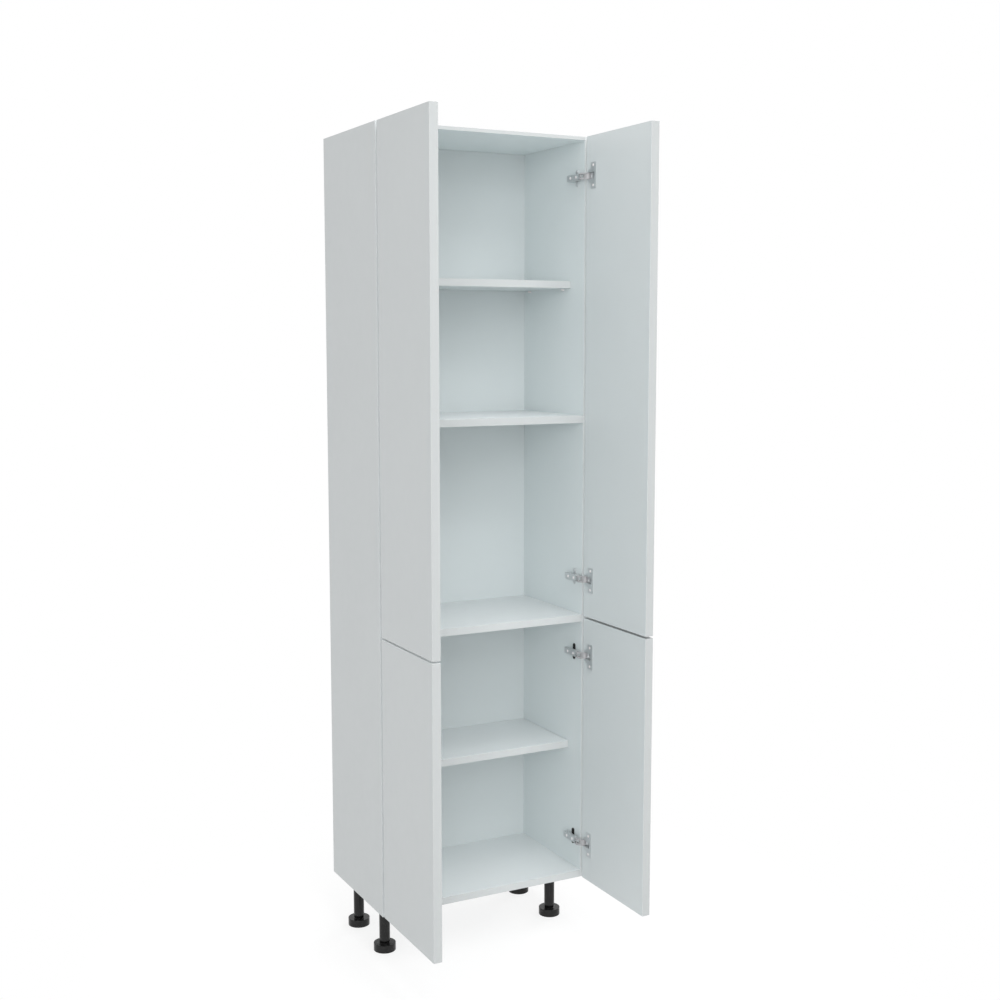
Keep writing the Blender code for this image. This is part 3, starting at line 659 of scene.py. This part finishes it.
def screw_data(radius, low, high):
    """A low round head with a cross recess, standing along u."""
    head = prism(circle((0, 0), radius, SCREW_SIDES), "x", low, high)
    base = eased(head, (high - low) * SCREW_EASE_SHARE, EASE_STEPS)
    reach = radius * RECESS_REACH_SHARE
    half = radius * RECESS_WIDTH_SHARE / 2
    floor = high - (high - low) * RECESS_DEPTH_SHARE
    arms = [
        prism(rectangle((-reach, -half), (reach, half)), "x", floor, high + CUT_OVERRUN),
        prism(rectangle((-half, -reach), (half, reach)), "x", floor, high + CUT_OVERRUN),
    ]
    return combined("screw", base, cuts(arms))


def screws(radius, low, high, places):
    """The same screw at several places in the plan, each turned its own way."""
    pattern = screw_data(radius, low, high)
    made = []
    for number, (v, z) in enumerate(places):
        data = pattern.copy()
        turn = Matrix.Rotation(FULL_TURN * SCREW_TURN_SHARE * (number + 1), 4, "X")
        data.transform(Matrix.Translation((0, v, z)) @ turn)
        made.append(data)
    return made


def arm_data():
    """Mounting plate, riser, channel arm and nose, with the four screws."""
    plate_low = BOARD + SEAT_GAP
    plate_top = plate_low + PLATE_THICKNESS
    under = ARM_TOP_U - ARM_PLATE
    foot = ARM_TOP_U - ARM_CHEEK_HEIGHT
    wing_reach = PLATE_SCREW_HALF_SPACING + PLATE_WING_HALF
    wings = rounded_box(
        (PLATE_SCREW_V - PLATE_WING_HALF, -wing_reach),
        (PLATE_SCREW_V + PLATE_WING_HALF, wing_reach),
        PLATE_WING_HALF - OVERLAP,
    )
    plate = eased(prism(wings, "x", plate_low, plate_top), EASE, EASE_STEPS)
    riser = rounded_box((RISER_REACH[0], -RISER_HALF), (RISER_REACH[1], RISER_HALF), FLANGE_CORNER)
    riser = eased(prism(riser, "x", plate_low + OVERLAP, under + OVERLAP), EASE, EASE_STEPS)
    inner_bend = ARM_BEND - ARM_PLATE
    outer_u, inner_u, bend_z = ARM_TOP_U - ARM_BEND, under - inner_bend, ARM_HALF - ARM_BEND
    channel = [
        (foot, -ARM_HALF),
        *circle((outer_u, -bend_z), ARM_BEND, CORNER_STEPS, -QUARTER_TURN, QUARTER_TURN),
        *circle((outer_u, bend_z), ARM_BEND, CORNER_STEPS, 0, QUARTER_TURN),
        (foot, ARM_HALF),
        (foot, ARM_HALF - ARM_PLATE),
        *circle((inner_u, bend_z), inner_bend, CORNER_STEPS, QUARTER_TURN, -QUARTER_TURN),
        *circle((inner_u, -bend_z), inner_bend, CORNER_STEPS, 0, -QUARTER_TURN),
        (foot, ARM_PLATE - ARM_HALF),
    ]
    outline = rounded_box(
        (ARM_REACH[0], -ARM_HALF - CUT_OVERRUN), (ARM_REACH[1], ARM_HALF + CUT_OVERRUN), ARM_CORNER
    )
    trim = prism(outline, "x", foot - CUT_OVERRUN, ARM_TOP_U + CUT_OVERRUN)
    slot = rounded_box(
        (ARM_SCREW_VS[1] - ARM_SLOT_LENGTH, -ARM_SLOT_HALF),
        (ARM_SCREW_VS[1], ARM_SLOT_HALF),
        ARM_SLOT_HALF - OVERLAP,
    )
    slot_cut = prism(slot, "x", ARM_TOP_U - ARM_SLOT_DEPTH, ARM_TOP_U + CUT_OVERRUN)
    channel_cuts = [("INTERSECT", trim)] + cuts([slot_cut])
    arm = combined("channel", prism(channel, "y", *ARM_REACH), channel_cuts, EASE)
    root = (under - NOSE_RADIUS + OVERLAP, NOSE_ROOT_V)
    nose = stretched([root, OUTER_ARM_PIN, INNER_ARM_PIN], NOSE_RADIUS)
    holes = []
    for pin in (OUTER_ARM_PIN, INNER_ARM_PIN):
        hole = circle(pin, PIN_RADIUS + PIN_CLEARANCE, PIN_SIDES)
        holes.append(upright(hole, -NOSE_HALVES[1] - CUT_OVERRUN, NOSE_HALVES[1] + CUT_OVERRUN))
    upper, lower = layer_pair(nose, *NOSE_HALVES)
    cheeks = combined("nose", upper, unions([lower]) + cuts(holes), NOSE_EASE)
    parts = [
        (as_data(plate, "plate"), PLATE_LOOK), (as_data(riser, "riser"), MAIN_LOOK),
        (arm, MAIN_LOOK), (cheeks, NOSE_LOOK),
    ]
    places = [(PLATE_SCREW_V, side * PLATE_SCREW_HALF_SPACING) for side in (-1, 1)]
    made = screws(PLATE_SCREW_RADIUS, plate_top - OVERLAP, plate_top + PLATE_SCREW_HEAD, places)
    parts += [(data, PLATE_LOOK) for data in made]
    places = [(v, 0) for v in ARM_SCREW_VS]
    made = screws(ARM_SCREW_RADIUS, ARM_TOP_U - OVERLAP, ARM_TOP_U + ARM_SCREW_HEAD, places)
    parts += [(data, SCREW_LOOK) for data in made]
    return joined("hinge_arm", parts)


def outer_link_data():
    """Two bowed cheeks on one long pin at the arm, with a stub at the cup on each."""
    outline = strap(OUTER_ARM_PIN, OUTER_CUP_PIN, **OUTER_LINK)
    inside, outside = OUTER_LINK_HALVES
    cheeks = [eased(cheek, EASE, EASE_STEPS) for cheek in layer_pair(outline, inside, outside)]
    reach = outside + SEAT_GAP
    pin = eased(upright(circle(OUTER_ARM_PIN, PIN_RADIUS, PIN_SIDES), -reach, reach), EASE, EASE_STEPS)
    stub = circle(OUTER_CUP_PIN, PIN_RADIUS, PIN_SIDES)
    stubs = layer_pair(stub, outside - ARM_PLATE / 2, STUB_REACH)
    parts = [(as_data(shape, "link"), MAIN_LOOK) for shape in [*cheeks, pin, *stubs]]
    return joined("outer_link", parts)


def inner_link_data():
    """One link, narrow where it turns inside the nose and broad beyond it, with a pin through its eye."""
    outline = strap(INNER_ARM_PIN, INNER_CUP_PIN, **INNER_LINK)
    body = upright(outline, -INNER_LINK_BROAD_HALF, INNER_LINK_BROAD_HALF)
    room = circle(INNER_ARM_PIN, NOSE_CLEAR_RADIUS, SCREW_SIDES)
    rooms = layer_pair(room, INNER_LINK_HALF, INNER_LINK_BROAD_HALF + CUT_OVERRUN)
    reach = NOSE_HALVES[1]
    pin = eased(upright(circle(INNER_ARM_PIN, PIN_RADIUS, PIN_SIDES), -reach, reach), EASE, EASE_STEPS)
    parts = [(combined("link", body, cuts(rooms), EASE), MAIN_LOOK), (as_data(pin, "pin"), MAIN_LOOK)]
    return joined("inner_link", parts)


def cup_data():
    """The cast cup under its straight screw flange, with the pocket that the links fold into."""
    centre = (CUP_CENTRE_V, 0)
    floor_u = DOOR_INNER_U - CUP_DEPTH
    flange_low = DOOR_INNER_U + SEAT_GAP
    flange_top = flange_low + FLANGE_SIZE[2]
    rim = CUP_RADIUS + FLANGE_RIM
    profile = [
        (0, floor_u), (CUP_RADIUS - CUP_CHAMFER, floor_u), (CUP_RADIUS, floor_u + CUP_CHAMFER),
        (CUP_RADIUS, flange_low), (rim, flange_low), (rim, flange_top), (0, flange_top),
    ]
    base = turned(profile, "x", centre, CUP_SIDES)
    half_width, half_height = FLANGE_SIZE[0] / 2, FLANGE_SIZE[1] / 2
    flange = rounded_box(
        (FLANGE_V - half_width, -half_height), (FLANGE_V + half_width, half_height), FLANGE_CORNER
    )
    half_arc = math.asin(POCKET_HALF / POCKET_RADIUS)
    pocket = circle(centre, POCKET_RADIUS, POCKET_STEPS, -half_arc, 2 * half_arc)
    pocket += circle(centre, POCKET_RADIUS, POCKET_STEPS, FULL_TURN / 2 - half_arc, 2 * half_arc)
    notch = rectangle((CUP_CENTRE_V - rim - CUT_OVERRUN, -NOTCH_HALF), (CUP_CENTRE_V, NOTCH_HALF))
    hole = circle(OUTER_CUP_PIN, PIN_RADIUS + PIN_CLEARANCE, PIN_SIDES)
    holes = [
        prism(pocket, "x", floor_u + CUP_WALL, flange_top + CUT_OVERRUN),
        prism(notch, "x", DOOR_INNER_U - CUP_NOTCH_DEPTH, flange_top + 2 * CUT_OVERRUN),
        *layer_pair(hole, NOTCH_HALF, STUB_REACH + SEAT_GAP),
    ]
    shapes = unions([prism(flange, "x", flange_low, flange_top)]) + cuts(holes)
    places = [(FLANGE_V, side * CUP_SCREW_HALF_SPACING) for side in (-1, 1)]
    made = screws(CUP_SCREW_RADIUS, flange_top - OVERLAP, flange_top + CUP_SCREW_HEAD, places)
    parts = [(combined("cup", base, shapes, EASE), MAIN_LOOK)] + [(data, SCREW_LOOK) for data in made]
    return joined("hinge_cup", parts)


def in_room(data, side):
    """A hinge shape turned from its plan into the room."""
    copy = data.copy()
    copy.transform(Matrix.Diagonal((-side, -1, 1, 1)))
    if side < 0:
        copy.flip_normals()
    return copy


def add_hinges(looks):
    plans = {
        "hinge_arm": arm_data(), "outer_link": outer_link_data(),
        "inner_link": inner_link_data(), "hinge_cup": cup_data(),
    }
    for side, word in ((-1, "left"), (1, "right")):
        for level, plate in (("upper", "nickel"), ("lower", "black")):
            names = {
                "hinge_arm": ["nickel", "screw", plate, "bright"], "outer_link": ["bright"],
                "inner_link": ["bright"], "hinge_cup": ["nickel", "screw"],
            }
            shapes = {kind: in_room(data, side) for kind, data in plans.items()}
            for kind, data in shapes.items():
                for name in names[kind]:
                    data.materials.append(looks[name])
            door = f"{level}_{word}"
            riders = {
                "hinge_arm": "carcass",
                "outer_link": f"outer_links_{door}",
                "inner_link": f"inner_links_{door}",
                "hinge_cup": f"door_{door}",
            }
            for end in ("top", "bottom"):
                tag = f"{door}_{end}"
                place = (side * side_x(), front_y(), hinge_height(tag))
                for kind, body in riders.items():
                    piece = linked(f"fine_{kind}_{tag}", shapes[kind], place)
                    dress(piece, [], body, [f"{kind}_{tag}"])


# Legs


def leg_data():
    """The socket under the floor board, the tube in it, and the foot that screws into the tube."""
    floor_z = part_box("bottom_panel")[0][2]
    collar_top = FOOT_HEIGHT + COLLAR_HEIGHT
    stem_top = collar_top + STEM_LENGTH
    socket_top = floor_z - SEAT_GAP
    flange_low = socket_top - SOCKET_FLANGE_THICKNESS
    tube_low = collar_top + SEAT_GAP
    tube_top = flange_low - SEAT_GAP
    bore_radius = STEM_RADIUS + STEM_CLEARANCE
    bore_top = stem_top + CUT_OVERRUN
    sleeve_inner = TUBE_RADIUS + SEAT_GAP
    sleeve_outer = sleeve_inner + SOCKET_WALL
    sleeve_low = socket_top - SOCKET_DEPTH
    profiles = {
        "foot": [
            (0, 0), (FOOT_RADIUS, 0), (FOOT_RADIUS, FOOT_HEIGHT), (COLLAR_RADIUS, FOOT_HEIGHT),
            (COLLAR_RADIUS, collar_top), (STEM_RADIUS, collar_top), (STEM_RADIUS, stem_top), (0, stem_top),
        ],
        "tube": [
            (0, bore_top), (bore_radius, bore_top), (bore_radius, tube_low), (TUBE_RADIUS, tube_low),
            (TUBE_RADIUS, tube_top), (0, tube_top),
        ],
        "socket": [
            (0, flange_low), (sleeve_inner, flange_low), (sleeve_inner, sleeve_low),
            (sleeve_outer, sleeve_low), (sleeve_outer, flange_low), (SOCKET_FLANGE_RADIUS, flange_low),
            (SOCKET_FLANGE_RADIUS, socket_top), (0, socket_top),
        ],
    }
    eases = {"foot": FOOT_EASE, "tube": TUBE_EASE, "socket": TUBE_EASE}
    return {
        kind: as_data(eased(turned(profile, "z", (0, 0), LEG_SIDES), eases[kind], EDGE_STEPS), kind)
        for kind, profile in profiles.items()
    }


def add_legs(looks):
    shapes = leg_data()
    for kind, data in shapes.items():
        data.materials.append(looks["plastic"])
        if kind == "foot":
            # The foot's faces above its top, the collar and the stem, get the darker copy of the plastic:
            # painted shade.
            data.materials.append(looks["collar"])
            for face in data.polygons:
                face.material_index = int(face.center.z > FOOT_HEIGHT + FOOT_EASE / 2)
    for end in ("front", "rear"):
        for word in ("left", "right"):
            low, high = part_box(f"leg_foot_{end}_{word}")
            place = ((low[0] + high[0]) / 2, (low[1] + high[1]) / 2, 0)
            for kind, data in shapes.items():
                body = f"foot_{end}_{word}" if kind == "foot" else "carcass"
                piece = linked(f"fine_{kind}_{end}_{word}", data, place)
                dress(piece, [], body, [f"leg_{kind}_{end}_{word}"])


def add_object():
    looks = make_looks()
    add_carcass(looks)
    for side, word in ((-1, "left"), (1, "right")):
        for level in ("upper", "lower"):
            add_door(level, side, word, looks)
    add_hinges(looks)
    add_legs(looks)


# Studio


def carcass_front():
    """The middle of the carcass's front edge, at floor level."""
    left_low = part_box("side_panel_left")[0]
    return Vector(((left_low[0] + side_x()) / 2, left_low[1], 0))


def add_camera():
    data = bpy.data.cameras.new("photo_camera")
    data.lens = CAMERA_LENS_MM
    data.sensor_width = SENSOR_MM
    camera = bpy.data.objects.new("photo_camera", data)
    camera.location = carcass_front() + Vector(CAMERA_OFFSET)
    camera.rotation_euler = (QUARTER_TURN + CAMERA_PITCH, 0, -CAMERA_AZIMUTH)
    bpy.context.scene.collection.objects.link(camera)
    bpy.context.scene.camera = camera


def soft_lamp(name, location, watts):
    data = bpy.data.lights.new(name, "AREA")
    data.size = LAMP_SIDE
    data.energy = watts
    lamp = bpy.data.objects.new(name, data)
    lamp.location = location
    lamp.rotation_euler = (Vector(LAMP_AIM) - Vector(location)).to_track_quat("-Z", "Y").to_euler()
    bpy.context.scene.collection.objects.link(lamp)


def seen_directly(tree):
    """1 for a camera or mirror ray, 0 for a ray that carries light from one surface to another."""
    path = tree.nodes.new("ShaderNodeLightPath")
    either = tree.nodes.new("ShaderNodeMath")
    either.operation = "MAXIMUM"
    tree.links.new(path.outputs["Is Camera Ray"], either.inputs[0])
    tree.links.new(path.outputs["Is Glossy Ray"], either.inputs[1])
    return either.outputs["Value"]


def add_sky():
    """A sky that is white to look at and lights the object at its own strength."""
    world = bpy.data.worlds.new("studio")
    bpy.context.scene.world = world
    world.use_nodes = True
    tree = world.node_tree
    sky = tree.nodes["Background"]
    sky.inputs["Color"].default_value = (*SKY_COLOUR, 1)
    strength = tree.nodes.new("ShaderNodeMapRange")
    strength.inputs["To Min"].default_value = SKY_STRENGTH
    strength.inputs["To Max"].default_value = SKY_STRENGTH_SEEN
    tree.links.new(seen_directly(tree), strength.inputs["Value"])
    tree.links.new(strength.outputs["Result"], sky.inputs["Strength"])


def near_object(tree):
    """The share of the shaded floor that shows: a little round the object's feet, and none further out."""
    place = tree.nodes.new("ShaderNodeTexCoord")
    distance = tree.nodes.new("ShaderNodeVectorMath")
    distance.operation = "LENGTH"
    share = tree.nodes.new("ShaderNodeMapRange")
    share.interpolation_type = "SMOOTHSTEP"
    share.inputs["From Min"].default_value = FLOOR_SHADOW_REACH[0]
    share.inputs["From Max"].default_value = FLOOR_SHADOW_REACH[1]
    share.inputs["To Min"].default_value = FLOOR_SHADOW_SHARE
    share.inputs["To Max"].default_value = 0.0
    tree.links.new(place.outputs["Object"], distance.inputs[0])
    tree.links.new(distance.outputs["Value"], share.inputs["Value"])
    return share.outputs["Result"]


def floor_material():
    """Pale floor: white to look at, with a share of its shaded self, so that the shadow stays faint."""
    made, shader = new_material("pale_floor", FLOOR_SPECULAR)
    shader.inputs["Roughness"].default_value = FLOOR_ROUGHNESS
    tree = made.node_tree
    clouds = noise(tree, *FLOOR_CLOUDS)
    tree.links.new(ramp(tree, clouds, *FLOOR_BLEND, FLOOR_COLOURS), shader.inputs["Base Color"])
    paper = tree.nodes.new("ShaderNodeBsdfDiffuse")
    tree.links.new(ramp(tree, clouds, *FLOOR_BLEND, PAPER_COLOURS), paper.inputs["Color"])
    white = tree.nodes.new("ShaderNodeEmission")
    shown = tree.nodes.new("ShaderNodeMixShader")
    tree.links.new(near_object(tree), shown.inputs["Fac"])
    tree.links.new(white.outputs["Emission"], shown.inputs[1])
    tree.links.new(paper.outputs["BSDF"], shown.inputs[2])
    chosen = tree.nodes.new("ShaderNodeMixShader")
    tree.links.new(seen_directly(tree), chosen.inputs["Fac"])
    tree.links.new(shader.outputs["BSDF"], chosen.inputs[1])
    tree.links.new(shown.outputs["Shader"], chosen.inputs[2])
    tree.links.new(chosen.outputs["Shader"], tree.nodes["Material Output"].inputs["Surface"])
    return made


def add_floor():
    mesh = bmesh.new()
    corners = [(-1, -1), (1, -1), (1, 1), (-1, 1)]
    mesh.faces.new([mesh.verts.new((x * FLOOR_HALF, y * FLOOR_HALF, 0)) for x, y in corners])
    data = bpy.data.meshes.new("floor")
    mesh.to_mesh(data)
    mesh.free()
    floor = bpy.data.objects.new("floor", data)
    bpy.context.scene.collection.objects.link(floor)
    floor.data.materials.append(floor_material())


def add_studio():
    add_sky()
    add_floor()
    for lamp in LAMPS:
        soft_lamp(*lamp)


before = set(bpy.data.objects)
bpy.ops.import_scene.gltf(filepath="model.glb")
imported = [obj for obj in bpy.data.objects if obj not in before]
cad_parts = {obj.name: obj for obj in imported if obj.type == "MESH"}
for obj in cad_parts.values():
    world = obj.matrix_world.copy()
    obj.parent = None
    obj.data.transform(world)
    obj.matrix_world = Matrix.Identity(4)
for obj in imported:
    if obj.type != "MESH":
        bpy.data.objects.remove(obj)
bpy.context.scene.view_settings.view_transform = "Standard"
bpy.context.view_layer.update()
add_object()
add_camera()
add_studio()
